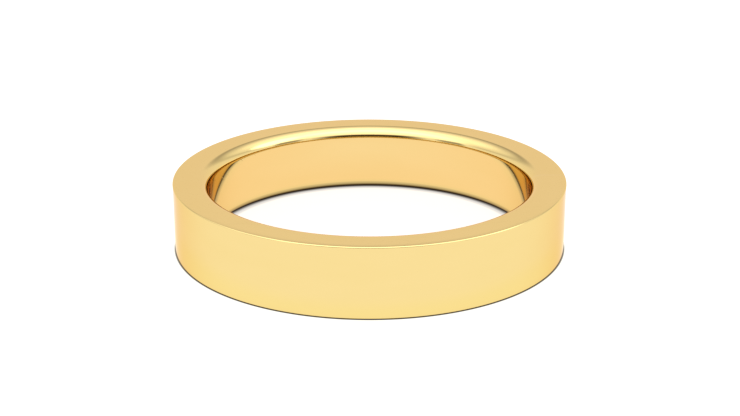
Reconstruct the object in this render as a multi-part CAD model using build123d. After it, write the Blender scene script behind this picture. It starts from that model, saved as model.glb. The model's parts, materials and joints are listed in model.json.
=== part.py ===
from build123d import *
import os

# A plain flat-court wedding band, lying on its side face with its bore upright.
# It is a strip of yellow gold bent round until its ends meet, with the butt joint run with
# gold solder and filed flush, so there are two solids: the strip and the thin wall of solder.
#
# Frame: millimetres, +Z up along the bore. The origin is on the bore's axis, in the plane of
# the lower side face. +X points from the bore's centre to the soldered joint.

# Driving dimensions
BORE_DIAMETER = 18.5    # inside diameter, where the finger goes
WALL = 2.08             # thickness of the band
WIDTH = 4.0             # along the bore, from one side face to the other
COMFORT_RADIUS = 0.66   # rounding of the two inner edges, so that they don't bite the finger
EDGE_RADIUS = 0.07      # small round that breaks each outer edge
SEAM_GAP = 0.08         # thickness of the solder between the strip's two squared ends

bore_radius = BORE_DIAMETER / 2


def band_section():
    """The strip's cross-section in the XZ plane: flat outside and on both sides, rounded inside."""
    with BuildSketch(Plane.XZ) as section:
        with Locations((bore_radius + WALL / 2, WIDTH / 2)):
            Rectangle(WALL, WIDTH)
        corners = section.vertices().group_by(Axis.X)
        fillet(corners[0], COMFORT_RADIUS)
        fillet(corners[-1], EDGE_RADIUS)
    return section.sketch


def closed_band():
    """The whole ring, as if it had no joint."""
    return revolve(band_section(), Axis.Z, 360)


def seam_slab():
    """A thin upright slab that crosses the band's wall on the +X side, where the two ends meet."""
    slab = Box(2 * WALL, SEAM_GAP, 2 * WIDTH)
    return Pos(bore_radius + WALL / 2, 0, WIDTH / 2) * slab


def shank():
    """The bent strip: the ring less the gap between its ends."""
    return closed_band() - seam_slab()


def solder_seam():
    """The solder that fills the gap and is filed flush with the strip on every side."""
    return closed_band() & seam_slab()


PARTS = {
    "shank": shank,
    "solder_seam": solder_seam,
}

os.makedirs("parts", exist_ok=True)
for node, make in PARTS.items():
    piece = make()
    export_step(piece, f"parts/{node}.step")
    print(node, "volume", round(piece.volume, 3), "mm3")
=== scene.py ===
# %% [markdown]
# # A plain gold wedding band
#
# This lesson dresses one small thing: a flat-court wedding band in 18 carat yellow gold. The
# engineering model already says how big it is and where it lies, so the first step loads that
# model and asks it for every size it holds. Nothing below moves or resizes it.

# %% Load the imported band
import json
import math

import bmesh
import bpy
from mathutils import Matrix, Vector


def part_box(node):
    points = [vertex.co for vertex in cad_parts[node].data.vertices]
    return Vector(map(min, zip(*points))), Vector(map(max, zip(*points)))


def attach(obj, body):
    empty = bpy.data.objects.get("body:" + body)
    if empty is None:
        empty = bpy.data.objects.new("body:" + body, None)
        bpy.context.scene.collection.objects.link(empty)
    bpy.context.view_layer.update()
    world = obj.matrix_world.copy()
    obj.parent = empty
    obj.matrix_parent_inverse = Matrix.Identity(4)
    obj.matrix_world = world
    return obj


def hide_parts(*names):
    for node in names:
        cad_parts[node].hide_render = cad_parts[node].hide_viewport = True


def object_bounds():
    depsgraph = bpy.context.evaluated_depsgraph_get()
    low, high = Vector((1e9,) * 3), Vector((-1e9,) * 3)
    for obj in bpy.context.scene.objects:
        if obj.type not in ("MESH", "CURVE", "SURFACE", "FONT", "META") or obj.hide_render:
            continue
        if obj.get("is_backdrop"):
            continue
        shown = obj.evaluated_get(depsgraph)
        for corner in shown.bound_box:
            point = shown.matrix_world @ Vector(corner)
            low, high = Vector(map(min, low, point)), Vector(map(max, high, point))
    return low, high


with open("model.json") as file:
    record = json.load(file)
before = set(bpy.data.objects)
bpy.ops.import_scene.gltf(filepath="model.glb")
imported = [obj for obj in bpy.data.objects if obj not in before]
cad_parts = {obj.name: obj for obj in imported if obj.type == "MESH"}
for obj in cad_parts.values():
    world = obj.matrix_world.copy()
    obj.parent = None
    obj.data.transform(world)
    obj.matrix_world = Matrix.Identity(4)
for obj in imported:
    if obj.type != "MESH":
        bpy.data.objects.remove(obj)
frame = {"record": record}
cad_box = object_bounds()

# %% [markdown]
# A band has few sizes. The box round it gives the outer radius and the width. The finger bore's
# mount gives the bore, and how much of the bore is straight. What is left over, shared between
# the two mouths, is the rounding that stops the edges from biting. The box of the solder gives the
# thickness of the joint.

MM = 0.001
EDGE_BREAK = 0.07 * MM    # the small round on the two outer edges

mounts = {mount["name"]: mount for mount in frame["record"]["mounts"]}
bore = mounts["finger_bore"]["dims"]
solder_low, solder_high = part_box("solder_seam")

outer_radius = cad_box[1].y
width = cad_box[1].z
bore_radius = bore["r_mm"] * MM
wall = outer_radius - bore_radius
mouth_round = (width - bore["length_mm"] * MM) / 2
seam_gap = solder_high.y - solder_low.y
print("outer radius, bore radius, wall, width, mouth round, seam gap in mm:")
print([round(size / MM, 3) for size in (outer_radius, bore_radius, wall, width, mouth_round, seam_gap)])

# %% [markdown]
# ## The camera
#
# Small things are shot from some way off with a long lens, so that the near side of the ring
# isn't swollen. The distance is given in outer radii, because that is what sets the perspective,
# and the camera looks down by about 20 degrees. The near clipping distance has to shrink with the
# subject: its default of 0.1 m lies beyond the band.

# %% Set up the camera
LENS_MM = 69.25
SENSOR_MM = 36
CAMERA_RADII = 7.34
CAMERA_ELEVATION = math.radians(20.12)
FRAMING_SHIFT = (0.0007, -0.0008)

camera_distance = CAMERA_RADII * outer_radius
camera_place = (
    0,
    -camera_distance * math.cos(CAMERA_ELEVATION),
    camera_distance * math.sin(CAMERA_ELEVATION) + width / 2,
)
bpy.ops.object.camera_add(location=camera_place, rotation=(math.pi / 2 - CAMERA_ELEVATION, 0, 0))
camera = bpy.context.object
camera.name = "portrait_camera"
camera.data.lens = LENS_MM
camera.data.sensor_width = SENSOR_MM
camera.data.shift_x, camera.data.shift_y = FRAMING_SHIFT
camera.data.clip_start = outer_radius / 10
bpy.context.scene.camera = camera
print("camera", round(camera_distance / MM, 1), "mm away")

# %% [markdown]
# ## A helper for nodes and a helper for colours
#
# Every node below is added by one function, which takes the node's settings as keywords and a
# table of its inputs. An input that is another node's output becomes a link. Colours are written
# the way a colour picker shows them, as sRGB hex, and one function turns them to the linear
# numbers that the renderer works in. A third fills in a colour ramp, which eases from each stop to
# the next, because a reflection shows every corner in a ramp as a line.

# %% Helpers
def add_node(tree, kind, inputs=None, **settings):
    """Adds a node, sets it up, and gives each named or numbered input its value or its link."""
    node = tree.nodes.new(kind)
    for name, value in settings.items():
        setattr(node, name, value)
    for socket, value in (inputs or {}).items():
        if isinstance(value, bpy.types.NodeSocket):
            tree.links.new(value, node.inputs[socket])
        else:
            node.inputs[socket].default_value = value
    return node


def linear(hex_colour):
    """The linear RGBA of an sRGB hex colour such as E3CA89."""
    def one(pair):
        share = int(pair, 16) / 255
        return share / 12.92 if share <= 0.04045 else ((share + 0.055) / 1.055) ** 2.4
    return (one(hex_colour[0:2]), one(hex_colour[2:4]), one(hex_colour[4:6]), 1.0)


def set_stops(ramp_node, stops):
    """Gives a colour ramp its stops, as (position, grey or colour) pairs in rising order."""
    ramp = ramp_node.color_ramp
    ramp.interpolation = "EASE"
    while len(ramp.elements) < len(stops):
        ramp.elements.new(1)
    for element, (position, colour) in zip(ramp.elements, stops):
        element.position = position
        element.color = colour if isinstance(colour, tuple) else (colour, colour, colour, 1)

# %% [markdown]
# ## The studio
#
# Polished gold has hardly any colour or shade of its own: it shows what stands round it. A
# jeweller's light tent is white card all round, a large soft light overhead, and a dark gap where
# the lens looks in. The dark gap matters as much as the light, because it draws the thin dark
# line that makes an edge look sharp.
#
# The tent is made in the world's shader, as a brightness for each direction, so no card stands in
# the way of another view. Every brightness is next to 1.0 for the glowing sheet that the band will
# lie on. The sheet is itself a quarter brighter than plain white, so that it burns out cleanly.

# %% Set the levels
SHEET_RADIANCE = 1.25
BRIGHTEST = 2.3           # the tent's brightest place, and the top of each ramp below

world = bpy.data.worlds.new("light_tent")
world.use_nodes = True
bpy.context.scene.world = world
bpy.context.scene.view_settings.view_transform = "Standard"
sky = world.node_tree
sky.nodes.clear()
towards = add_node(sky, "ShaderNodeTexCoord").outputs["Generated"]
towards_x, towards_y, towards_z = add_node(sky, "ShaderNodeSeparateXYZ", {0: towards}).outputs
print("the tent goes up to", BRIGHTEST * SHEET_RADIANCE, "and the sheet is", SHEET_RADIANCE)

# %% [markdown]
# Each side of the tent is a card with a ramp of brightness from the horizon up to the zenith. The
# far side's card stops short of the overhead light, and the band's mouth mirrors the darker strip
# between them, which is what gives the round its shape. The far card is also slightly bluish, next
# to the warm light from the front.
#
# The cards are flat, so their top edges sink towards their ends. Shortening the direction's X
# before its height is read does the same.

# %% Hang the three cards
CARD_FLATNESS = 0.55
COOL_CARD = (0.98, 0.97, 1.04, 1)

# Pairs of an elevation in degrees and the brightness there.
FAR_SIDE = [(-10, 0.98), (21, 0.88), (32, 0.43), (40, 0.57), (52, 0.80), (66, 1.04), (90, 1.68)]
BOTH_ENDS = [(-10, 0.98), (20, 0.88), (31, 0.66), (42, 0.92), (60, 1.32), (90, 1.68)]
CAMERA_SIDE = [(-10, 0.98), (20, 0.95), (30, 1.25), (45, 1.68), (75, 2.3), (90, 1.68)]


def sines(*angles):
    """The sines of some angles in degrees: how far up each one is on a ball of radius 1."""
    return tuple(math.sin(math.radians(angle)) for angle in angles)


flattened = add_node(
    sky, "ShaderNodeVectorMath", {0: towards, 1: (CARD_FLATNESS, 1, 1)}, operation="MULTIPLY"
)
unit = add_node(sky, "ShaderNodeVectorMath", {0: flattened.outputs[0]}, operation="NORMALIZE")
upward = add_node(sky, "ShaderNodeSeparateXYZ", {0: unit.outputs[0]}).outputs["Z"]
height = add_node(sky, "ShaderNodeMapRange", {"Value": upward, "From Min": -1.0})

cards = []
for stops in (FAR_SIDE, BOTH_ENDS, CAMERA_SIDE):
    heights = [(1 + up) / 2 for up in sines(*[angle for angle, brightness in stops])]
    shares = [brightness / BRIGHTEST for angle, brightness in stops]
    card = add_node(sky, "ShaderNodeValToRGB", {0: height.outputs[0]})
    set_stops(card, list(zip(heights, shares)))
    cards.append(card.outputs["Color"])
far_card, end_cards, camera_card = cards

# A Mix node numbers its two colour inputs 6 and 7, and its colour output 2.
cool_far_card = add_node(
    sky,
    "ShaderNodeMix",
    {"Factor": 1.0, 6: far_card, 7: COOL_CARD},
    data_type="RGBA",
    blend_type="MULTIPLY",
)
print(len(cards), "cards hung")

# %% [markdown]
# The far card fills the whole tent at first, and the others are laid over it, each where one
# number passes from an edge to an inside value: how far the direction goes sideways, how far it
# goes towards the camera, and how near it is to one more light, which stands on the +X side.

# %% Find where each card and the side light reach
BOTH_ENDS_REACH = (0.0, 0.7)
CAMERA_SIDE_REACH = (0.05, -0.4)
SIDE_LIGHT_TOWARDS = (0.813, -0.10, 0.574)
SIDE_LIGHT_REACH = (math.cos(math.radians(22)), math.cos(math.radians(10)))

sideways = add_node(sky, "ShaderNodeMath", {0: towards_x}, operation="ABSOLUTE")
nearness = add_node(
    sky, "ShaderNodeVectorMath", {0: towards, 1: SIDE_LIGHT_TOWARDS}, operation="DOT_PRODUCT"
)
reaches = []
for value, (edge, inside) in (
    (sideways.outputs[0], BOTH_ENDS_REACH),
    (towards_y, CAMERA_SIDE_REACH),
    (nearness.outputs["Value"], SIDE_LIGHT_REACH),
):
    reach = add_node(
        sky,
        "ShaderNodeMapRange",
        {"Value": value, "From Min": edge, "From Max": inside},
        interpolation_type="SMOOTHSTEP",
    )
    reaches.append(reach.outputs[0])
at_the_ends, at_the_camera, in_the_light = reaches
print(len(reaches), "reaches found")

# %% [markdown]
# Next come the dark places: the gap itself, and a slot to each side of it, about two thirds as
# dark, where the front panel is zipped on and its cloth lies doubled. Each is a range of
# directions, both up and towards the camera's side, with soft ends. Multiplying its four slopes
# gives how dark it is, and the darker of the two places wins.

# %% Find the dark places
# For each: how dark it is, then the sines where it starts, is full, is still full and has ended,
# going up and then going towards the camera's side. The gap doesn't end on that side, so its last
# two numbers are past the largest sine there is.
DARK_PLACES = {
    "gap": (1.0, sines(-3, -1, 20, 29), (0.65, 0.92, 2, 3)),
    "slots": (0.65, sines(0, 5, 17, 25), sines(12, 20, 32, 41)),
}

forward = add_node(sky, "ShaderNodeMath", {0: towards_y, 1: -1.0}, operation="MULTIPLY").outputs[0]
darkness = 0.0
for place_darkness, up_range, forward_range in DARK_PLACES.values():
    for value, (start, full, still_full, ended) in (
        (towards_z, up_range), (forward, forward_range)
    ):
        for edge, inside in ((start, full), (ended, still_full)):
            slope = add_node(
                sky,
                "ShaderNodeMapRange",
                {"Value": value, "From Min": edge, "From Max": inside},
                interpolation_type="SMOOTHSTEP",
            )
            place_darkness = add_node(
                sky,
                "ShaderNodeMath",
                {0: place_darkness, 1: slope.outputs[0]},
                operation="MULTIPLY",
            ).outputs[0]
    darkness = add_node(
        sky, "ShaderNodeMath", {0: darkness, 1: place_darkness}, operation="MAXIMUM"
    ).outputs[0]
print("dark places:", ", ".join(DARK_PLACES))

# %% [markdown]
# Last, everything is laid over the far card in turn. The room behind the gap is a dark warm brown
# and not black. From low and straight behind, the whole top of the band mirrors the gap and goes a
# very dark brown. A black room would turn it black.

# %% Light the band
WHITE = (1, 1, 1, 1)
DARK_ROOM = (0.026, 0.018, 0.010, 1)

tent = cool_far_card
for share, colour in (
    (at_the_ends, end_cards),
    (at_the_camera, camera_card),
    (in_the_light, WHITE),
    (darkness, DARK_ROOM),
):
    tent = add_node(
        sky,
        "ShaderNodeMix",
        {"Factor": share, 6: tent.outputs[2], 7: colour},
        data_type="RGBA",
    )
light = add_node(
    sky,
    "ShaderNodeBackground",
    {"Color": tent.outputs[2], "Strength": BRIGHTEST * SHEET_RADIANCE},
)
add_node(sky, "ShaderNodeOutputWorld", {"Surface": light.outputs[0]})
print("light tent lit, with", len(sky.nodes), "nodes")

# %% [markdown]
# The band lies on a sheet of white acrylic with lamps under it, a light table. It glows evenly, so
# it throws no broad shadow, and it is far wider than the band, so that its edge is a low horizon
# in every reflection. Where the metal leans over it or comes down to meet it, a shadow is painted
# into the sheet's glow. Inside the bore and close to the outer wall a golden tint is painted in,
# as painted light that the metal would throw back there. The sheet is bright enough to burn that
# tint out to white where it is seen directly, but the metal mirrors it. The band is round, so all
# this depends only on the distance from its axis, and one ramp paints it.
#
# The painted line of shadow where the band touches the sheet is what seats it there. It is
# painted warm, as if what little light reaches it had gone from gold to gold on the way.

# %% Work out the sheet's painted shade
# The sheet's colour where the metal covers it: a painted shadow.
PAINTED_CONTACT_SHADOW = (0.022, 0.013, 0.008, 1)
PLAIN_WHITE = (1, 1, 1, 1)

# Pairs of a distance from the band's axis and the sheet's colour there. The dark stops are a
# painted shadow under and beside the metal, and the golden ones painted bounce light from it.
PAINTED_SHEET_SHADE = [
    (0, (1, 0.92, 0.90, 1)),
    (bore_radius - 1.3 * MM, (1, 0.87, 0.79, 1)),
    (bore_radius - 0.3 * MM, (0.95, 0.86, 0.77, 1)),
    (bore_radius, (0.66, 0.63, 0.59, 1)),
    (bore_radius + 0.45 * MM, PAINTED_CONTACT_SHADOW),
    (outer_radius - 0.03 * MM, PAINTED_CONTACT_SHADOW),
    (outer_radius + 0.02 * MM, (0.06, 0.04, 0.03, 1)),
    (outer_radius + 0.06 * MM, (1, 0.98, 0.88, 1)),
    (outer_radius + 0.5 * MM, (1, 1, 0.88, 1)),
    (outer_radius + 3 * MM, PLAIN_WHITE),
]
ramp_end = PAINTED_SHEET_SHADE[-1][0]
print("the sheet's shade ends", round(ramp_end / MM, 2), "mm from the axis")

# %% [markdown]
# The sheet lies a few thousandths of a millimetre under the band, because two surfaces in exactly
# the same plane flicker. It is clear on its lower side and under the band's flat, so that the
# underside of the band can be looked at.

# %% Lay the glowing sheet
SHEET_RADIUS = 0.12
SHEET_SIDES = 128
SHEET_DROP = 0.004 * MM


def lit_acrylic_painted_shade():
    """Lit opal acrylic, with painted golden bounce light near the metal and painted shadow under it."""
    material = bpy.data.materials.new("lit_acrylic_painted_shade")
    material.use_nodes = True
    material.cycles.emission_sampling = "NONE"
    tree = material.node_tree
    tree.nodes.clear()
    place = add_node(tree, "ShaderNodeTexCoord").outputs["Object"]
    radius = add_node(
        tree, "ShaderNodeVectorMath", {0: place}, operation="LENGTH"
    ).outputs["Value"]
    share_of_ramp = add_node(
        tree, "ShaderNodeMath", {0: radius, 1: 1 / ramp_end}, operation="MULTIPLY"
    )
    shade = add_node(tree, "ShaderNodeValToRGB", {0: share_of_ramp.outputs[0]})
    set_stops(shade, [(stop / ramp_end, tone) for stop, tone in PAINTED_SHEET_SHADE])
    glow = add_node(
        tree, "ShaderNodeEmission", {"Color": shade.outputs["Color"], "Strength": SHEET_RADIANCE}
    )
    clear = add_node(tree, "ShaderNodeBsdfTransparent")
    from_below = add_node(tree, "ShaderNodeNewGeometry").outputs["Backfacing"]
    flat_start, flat_end = bore_radius + mouth_round, outer_radius - EDGE_BREAK
    under_flat = add_node(
        tree,
        "ShaderNodeMath",
        {0: radius, 1: (flat_start + flat_end) / 2, 2: (flat_end - flat_start) / 2},
        operation="COMPARE",
    )
    see_through = add_node(
        tree, "ShaderNodeMath", {0: from_below, 1: under_flat.outputs[0]}, operation="MAXIMUM"
    )
    sheet = add_node(
        tree,
        "ShaderNodeMixShader",
        {0: see_through.outputs[0], 1: glow.outputs[0], 2: clear.outputs[0]},
    )
    add_node(tree, "ShaderNodeOutputMaterial", {"Surface": sheet.outputs[0]})
    return material


bpy.ops.object.select_all(action="DESELECT")
bpy.ops.mesh.primitive_circle_add(
    vertices=SHEET_SIDES, radius=SHEET_RADIUS, fill_type="NGON", location=(0, 0, -SHEET_DROP)
)
light_sheet = bpy.context.object
light_sheet.name = "light_sheet"
bpy.ops.object.transform_apply(location=True, rotation=True, scale=True)
light_sheet.data.materials.append(lit_acrylic_painted_shade())
light_sheet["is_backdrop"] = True
print("sheet laid, radius", SHEET_RADIUS, "m")

# %% [markdown]
# ## The band's section
#
# A bench jeweller draws the metal through a shaped plate to get its section and then bends it
# round. The model is made the same way: a flat plane the size of the wall is stood up at the
# +X side, its four corners are rounded, and its outline is swept round the bore's axis.
#
# Bevelling the points of a flat face rounds its corners. The inner pair get the comfortable
# mouth round and the outer pair only the small break that a buffing wheel leaves. A profile of
# 0.5 makes each one a true arc.

# %% Draw the section
MOUTH_STEPS = 24
EDGE_STEPS = 10


def select_points(piece, wanted):
    """In edit mode, selects the points whose place passes the test, and what lies between them."""
    bpy.ops.mesh.select_mode(type="VERT")
    bpy.ops.mesh.select_all(action="DESELECT")
    mesh = bmesh.from_edit_mesh(piece.data)
    for point in mesh.verts:
        point.select = wanted(point.co)
    mesh.select_flush(True)
    bmesh.update_edit_mesh(piece.data)


bpy.ops.object.select_all(action="DESELECT")
bpy.ops.mesh.primitive_plane_add(
    size=1, location=(bore_radius + wall / 2, 0, width / 2), rotation=(math.pi / 2, 0, 0)
)
shank = bpy.context.object
shank.name = "gold_shank"
shank.scale = (wall, width, 1)
bpy.ops.object.transform_apply(location=True, rotation=True, scale=True)

bpy.ops.object.mode_set(mode="EDIT")
select_points(shank, lambda place: place.x < bore_radius + wall / 2)
bpy.ops.mesh.bevel(
    offset=mouth_round, offset_type="OFFSET", segments=MOUTH_STEPS, profile=0.5, affect="VERTICES"
)
select_points(shank, lambda place: place.x > outer_radius - EDGE_BREAK / 2)
bpy.ops.mesh.bevel(
    offset=EDGE_BREAK, offset_type="OFFSET", segments=EDGE_STEPS, profile=0.5, affect="VERTICES"
)
print("section has", len(bmesh.from_edit_mesh(shank.data).verts), "points")

# %% [markdown]
# The four straight runs between the arcs are still single edges. Swept round, they would make
# long thin faces, so each is divided into pieces of about a third of a millimetre. The flat face
# itself is deleted first, because only its outline is swept.

# %% Divide the straight runs
FACE_LENGTH = 0.35 * MM
NEAR = 0.001 * MM


def divide_run(piece, length, wanted):
    """Divides the straight run whose two end points pass the test."""
    select_points(piece, wanted)
    bpy.ops.mesh.subdivide(number_cuts=round(length / FACE_LENGTH) - 1)


bpy.ops.mesh.select_all(action="SELECT")
bpy.ops.mesh.delete(type="ONLY_FACE")
flat_width = wall - mouth_round - EDGE_BREAK
divide_run(shank, flat_width, lambda place: place.z > width - NEAR)
divide_run(shank, flat_width, lambda place: place.z < NEAR)
divide_run(shank, width - 2 * mouth_round, lambda place: place.x < bore_radius + NEAR)
divide_run(shank, width - 2 * EDGE_BREAK, lambda place: place.x > outer_radius - NEAR)
print("outline has", len(bmesh.from_edit_mesh(shank.data).edges), "edges")

# %% [markdown]
# ## Sweep it round
#
# Spin turns the outline about the bore's axis. A mirror-bright surface shows every facet in its
# reflections, so the full turn has 720 steps, or one every half degree. The last section lands on
# the first, so the doubles are merged, and the faces are turned to point out of the metal.

# %% Spin the section
TURN_STEPS = 720

bpy.ops.mesh.select_all(action="SELECT")
bpy.ops.mesh.spin(
    steps=TURN_STEPS, angle=2 * math.pi, center=(0, 0, 0), axis=(0, 0, 1), use_auto_merge=False
)
bpy.ops.mesh.select_all(action="SELECT")
bpy.ops.mesh.remove_doubles(threshold=NEAR)
bpy.ops.mesh.normals_make_consistent(inside=False)
print("ring has", len(bmesh.from_edit_mesh(shank.data).faces), "faces")

# %% [markdown]
# ## Saw out the joint
#
# The real strip has two squared ends that meet at the +X side with a film of gold solder between
# them. Two parallel cuts, as far apart as that film is thick, part the faces there. Those between
# the cuts become the solder, a piece of its own, and both pieces get their ends closed.

# %% Cut the joint and close the ends
def select_joint(piece, half_height):
    """In edit mode, selects the faces on the +X side whose middle lies that near to y = 0."""
    bpy.ops.mesh.select_mode(type="FACE")
    bpy.ops.mesh.select_all(action="DESELECT")
    mesh = bmesh.from_edit_mesh(piece.data)
    for face in mesh.faces:
        middle = face.calc_center_median()
        face.select = middle.x > 0 and abs(middle.y) < half_height
    mesh.select_flush_mode()
    bmesh.update_edit_mesh(piece.data)


def close_ends(piece):
    """Fills the open ends of a piece, each with one flat face."""
    bpy.ops.object.select_all(action="DESELECT")
    piece.select_set(True)
    bpy.context.view_layer.objects.active = piece
    bpy.ops.object.mode_set(mode="EDIT")
    bpy.ops.mesh.select_mode(type="VERT")
    bpy.ops.mesh.select_all(action="DESELECT")
    bpy.ops.mesh.select_non_manifold()
    bpy.ops.mesh.fill_holes(sides=0)
    bpy.ops.mesh.select_all(action="SELECT")
    bpy.ops.mesh.normals_make_consistent(inside=False)
    bpy.ops.object.mode_set(mode="OBJECT")


CUT_REACH = 4 * seam_gap     # the faces that the saw may touch

for cut_side in (1, -1):
    select_joint(shank, CUT_REACH)
    bpy.ops.mesh.bisect(
        plane_co=(0, cut_side * seam_gap / 2, 0), plane_no=(0, 1, 0), threshold=NEAR / 10
    )
select_joint(shank, seam_gap / 2)
bpy.ops.mesh.separate(type="SELECTED")
bpy.ops.object.mode_set(mode="OBJECT")
solder = [piece for piece in bpy.context.selected_objects if piece != shank][0]
solder.name = "solder_line"
for piece in (shank, solder):
    piece.data.name = piece.name
    close_ends(piece)
    print(piece.name, "has", len(piece.data.polygons), "faces")

# %% [markdown]
# ## Shade it smooth
#
# The arcs run into the flats with no crease, so everything is shaded smooth except the ends of
# the joint. Plain smoothing would borrow a little of the arcs' slope for the edge of each flat,
# and bend the reflections there. Weighted normals let the larger face win, so flats stay flat.

# %% Smooth the surfaces
SHARP_ANGLE = math.radians(40)
LARGER_FACE_WINS = 100

for piece in (shank, solder):
    bpy.ops.object.select_all(action="DESELECT")
    piece.select_set(True)
    bpy.context.view_layer.objects.active = piece
    bpy.ops.object.shade_smooth_by_angle(angle=SHARP_ANGLE)
    weighted = piece.modifiers.new("flat_stays_flat", "WEIGHTED_NORMAL")
    weighted.weight = LARGER_FACE_WINS
    weighted.keep_sharp = True
    bpy.ops.object.modifier_apply(modifier=weighted.name)
print("smoothed")

# %% [markdown]
# ## Where a mark lies on the band
#
# Marks on a drawn strip run along it, so they are laid out on the strip before it was bent: how
# far along, how far across and how deep, all in millimetres. The distance along is the angle
# round the bore times the middle radius. The angle starts at the +X side, so the one place where
# it jumps is hidden by the joint, as it is on the real thing.

# %% Unroll the band
def unrolled(tree):
    """A vector in millimetres: along the strip, across its width, and outwards from the bore."""
    place = add_node(tree, "ShaderNodeTexCoord")
    parts = add_node(tree, "ShaderNodeSeparateXYZ", {0: place.outputs["Object"]})
    x, y, z = parts.outputs[0], parts.outputs[1], parts.outputs[2]
    back_x = add_node(tree, "ShaderNodeMath", {0: x, 1: -1.0}, operation="MULTIPLY")
    back_y = add_node(tree, "ShaderNodeMath", {0: y, 1: -1.0}, operation="MULTIPLY")
    angle = add_node(
        tree, "ShaderNodeMath", {0: back_y.outputs[0], 1: back_x.outputs[0]}, operation="ARCTAN2"
    )
    middle_radius = (bore_radius + wall / 2) / MM
    along = add_node(
        tree, "ShaderNodeMath", {0: angle.outputs[0], 1: middle_radius}, operation="MULTIPLY"
    )
    across = add_node(tree, "ShaderNodeMath", {0: z, 1: 1 / MM}, operation="MULTIPLY")
    flat = add_node(tree, "ShaderNodeCombineXYZ", {0: x, 1: y})
    radius = add_node(tree, "ShaderNodeVectorMath", {0: flat.outputs[0]}, operation="LENGTH")
    outwards = add_node(
        tree, "ShaderNodeMath", {0: radius.outputs["Value"], 1: 1 / MM}, operation="MULTIPLY"
    )
    return add_node(
        tree,
        "ShaderNodeCombineXYZ",
        {0: along.outputs[0], 1: across.outputs[0], 2: outwards.outputs[0]},
    ).outputs[0]

# %% [markdown]
# ## Polished yellow gold
#
# 18 carat yellow gold is three quarters gold, with silver and copper. A metal's base colour is
# what it reflects head on, a warm yellow. Its specular tint is what it keeps at a glancing angle,
# where the copper holds it orange and stops the sides from going white.
#
# It is lapped flat and then buffed on a wheel with rouge. That leaves hairlines along the strip,
# well under a micrometre deep, and slightly cloudy patches where the wheel pressed less. The real
# hairlines are a few thousandths of a millimetre apart. They are drawn a few hundredths apart,
# which is as coarse as they need to be to show at all. Both are noise, stretched along the strip.

# %% Hairlines and clouds
HAIRLINE_SIZE = (9.0, 0.07, 0.07)     # along, across and outwards, in millimetres
CLOUD_SIZE = (5.0, 1.6, 1.6)
HAIRLINE_DETAIL = 2.0
CLOUD_DETAIL = 3.0
CLOUD_RANGE = (0.35, 0.75)            # the part of the noise that goes from mirror to dull


def stretched_noise(tree, place, size_mm, detail, seed):
    """Noise whose blobs are size_mm long, wide and deep on the unrolled strip."""
    scaled = add_node(
        tree,
        "ShaderNodeVectorMath",
        {0: place, 1: tuple(1 / size for size in size_mm)},
        operation="MULTIPLY",
    )
    noise = add_node(
        tree,
        "ShaderNodeTexNoise",
        {"Vector": scaled.outputs[0], "W": seed, "Scale": 1.0, "Detail": detail},
        noise_dimensions="4D",
    )
    return noise.outputs["Fac"]

# %% [markdown]
# Handling adds a few stray scratches, finer than a hair and a few millimetres long, which lie at a
# slant to the hairlines. A slanting mark has to run on over an edge, so it is laid out on the
# distance along the strip and the distance round its section. Width less depth gives the second:
# it grows up the outer wall and then on across the top. Noise stretched into long thin blobs is
# cut off just below its peaks, and only the few tips that stand out become scratches.

# %% Stray scratches
SCRATCH_SIZE = (3.5, 0.09, 1.0)       # long, wide and spaced, in millimetres
SCRATCH_SLANTS = (28, -41)            # degrees from the strip's own direction
SCRATCH_TIPS = (0.70, 0.76)           # the part of the noise that goes from nothing to full depth


def scratched(tree, place):
    """Depth of the stray scratches, from 0 for none to 1, at a place on the unrolled strip."""
    along, across, outwards = add_node(tree, "ShaderNodeSeparateXYZ", {0: place}).outputs
    girth = add_node(tree, "ShaderNodeMath", {0: across, 1: outwards}, operation="SUBTRACT")
    skin = add_node(tree, "ShaderNodeCombineXYZ", {0: along, 1: girth.outputs[0]})
    depth = 0.0
    for seed, slant in enumerate(SCRATCH_SLANTS, start=3):
        slanted = add_node(
            tree,
            "ShaderNodeMapping",
            {"Vector": skin.outputs[0], "Rotation": (0, 0, math.radians(slant))},
        )
        noise = stretched_noise(tree, slanted.outputs[0], SCRATCH_SIZE, detail=0.0, seed=seed)
        tips = add_node(
            tree,
            "ShaderNodeMapRange",
            {"Value": noise, "From Min": SCRATCH_TIPS[0], "From Max": SCRATCH_TIPS[1]},
        )
        depth = add_node(
            tree, "ShaderNodeMath", {0: depth, 1: tips.outputs[0]}, operation="MAXIMUM"
        ).outputs[0]
    return depth

# %% [markdown]
# The two outer edges are what a band knocks and rubs against, so they are a little duller. How far
# a place is from the nearer edge, measured over the surface, is the larger of two distances: in
# from the outer wall, and away from the nearer side face. Near an edge one of the two is nothing.

# %% Rubbed edges
RUBBED_WIDTH_MM = 0.4
RUBBED_ROUGHER = 0.05


def rubbed(tree, place):
    """How much rougher the gold is near its two outer edges."""
    _, across, outwards = add_node(tree, "ShaderNodeSeparateXYZ", {0: place}).outputs
    inwards = add_node(
        tree, "ShaderNodeMath", {0: outer_radius / MM, 1: outwards}, operation="SUBTRACT"
    )
    from_top = add_node(tree, "ShaderNodeMath", {0: width / MM, 1: across}, operation="SUBTRACT")
    from_face = add_node(
        tree, "ShaderNodeMath", {0: across, 1: from_top.outputs[0]}, operation="MINIMUM"
    )
    from_edge = add_node(
        tree,
        "ShaderNodeMath",
        {0: inwards.outputs[0], 1: from_face.outputs[0]},
        operation="MAXIMUM",
    )
    return add_node(
        tree,
        "ShaderNodeMapRange",
        {
            "Value": from_edge.outputs[0],
            "From Min": RUBBED_WIDTH_MM,
            "From Max": 0.0,
            "To Max": RUBBED_ROUGHER,
        },
        interpolation_type="SMOOTHSTEP",
    ).outputs[0]

# %% [markdown]
# The clouds do two things at once: where they are thick, the gold is duller and a shade paler. The
# marks that have depth are two Bump nodes in a row, scratches first and hairlines on top of them.
# The finer a mark is, the less deep it can be, and both are far too shallow to be geometry.

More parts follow.
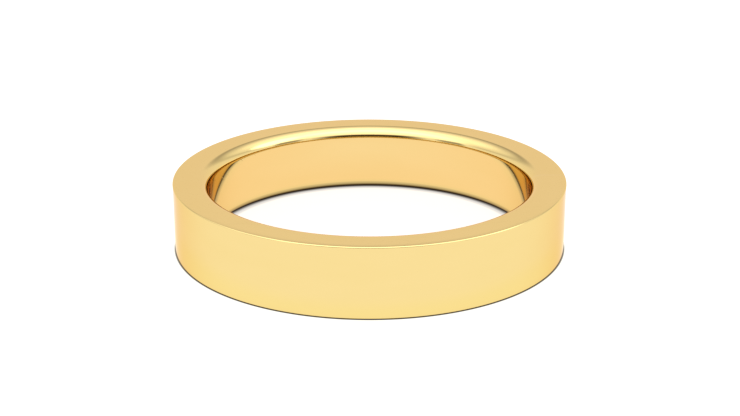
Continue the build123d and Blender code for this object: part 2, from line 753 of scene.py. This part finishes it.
# %% The finish
def polished_gold(name, tones, edge_tint, scratch_depth, hairline_depth, roughness):
    """A buffed gold alloy: hairlines, faint cloudy patches, rubbed edges and stray scratches."""
    material = bpy.data.materials.new(name)
    material.use_nodes = True
    tree = material.node_tree
    tree.nodes.clear()
    place = unrolled(tree)
    hairlines = stretched_noise(tree, place, HAIRLINE_SIZE, HAIRLINE_DETAIL, seed=1.0)
    clouds = stretched_noise(tree, place, CLOUD_SIZE, CLOUD_DETAIL, seed=2.0)
    tone = add_node(
        tree, "ShaderNodeMix", {"Factor": clouds, 6: tones[0], 7: tones[1]}, data_type="RGBA"
    )
    dullness = add_node(
        tree,
        "ShaderNodeMapRange",
        {
            "Value": clouds,
            "From Min": CLOUD_RANGE[0],
            "From Max": CLOUD_RANGE[1],
            "To Min": roughness[0],
            "To Max": roughness[1],
        },
    )
    dullness_with_edges = add_node(
        tree, "ShaderNodeMath", {0: dullness.outputs[0], 1: rubbed(tree, place)}, operation="ADD"
    )
    scratches = add_node(
        tree,
        "ShaderNodeBump",
        {"Height": scratched(tree, place), "Distance": scratch_depth, "Strength": 1.0},
        invert=True,
    )
    relief = add_node(
        tree,
        "ShaderNodeBump",
        {
            "Height": hairlines,
            "Distance": hairline_depth,
            "Strength": 1.0,
            "Normal": scratches.outputs[0],
        },
    )
    metal = add_node(
        tree,
        "ShaderNodeBsdfPrincipled",
        {
            "Base Color": tone.outputs[2],
            "Metallic": 1.0,
            "Specular Tint": edge_tint,
            "Roughness": dullness_with_edges.outputs[0],
            "Normal": relief.outputs[0],
        },
    )
    add_node(tree, "ShaderNodeOutputMaterial", {"Surface": metal.outputs[0]})
    return material

# %% [markdown]
# The solder has less gold and more silver than the band, so that it melts first. It is therefore
# a touch paler, and softer, so it doesn't take quite as high a polish. Filed flush and buffed over,
# it is a line that the eye only finds when it looks for it.

# %% Two golds
EDGE_TINT = linear("F2DDC3")
SCRATCH_DEPTH = 0.0006 * MM
HAIRLINE_DEPTH = 0.00005 * MM

gold = polished_gold(
    "polished_18ct_yellow_gold",
    (linear("E1C885"), linear("E5CC8D")),
    EDGE_TINT,
    SCRATCH_DEPTH,
    HAIRLINE_DEPTH,
    roughness=(0.03, 0.07),
)
solder_gold = polished_gold(
    "gold_solder_filed_flush",
    (linear("E1CA90"), linear("E5CE98")),
    EDGE_TINT,
    SCRATCH_DEPTH,
    HAIRLINE_DEPTH,
    roughness=(0.05, 0.09),
)
shank.data.materials.append(gold)
solder.data.materials.append(solder_gold)
print("materials:", gold.name, solder_gold.name)

# %% [markdown]
# ## Hand over
#
# Nothing on a band moves, so both pieces ride on its one body. The node of the engineering model
# that each one refines is hidden, and the two boxes are printed for comparison.

# %% Tie the pieces to the frame
for piece, node, slot in (
    (shank, "shank", "yellow_gold"),
    (solder, "solder_seam", "gold_solder"),
):
    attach(piece, "root")
    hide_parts(node)

visual_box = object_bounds()
for corner, visual_corner in zip(cad_box, visual_box):
    print("corner in mm, frame then visual:",
          [round(c / MM, 4) for c in corner], [round(c / MM, 4) for c in visual_corner])
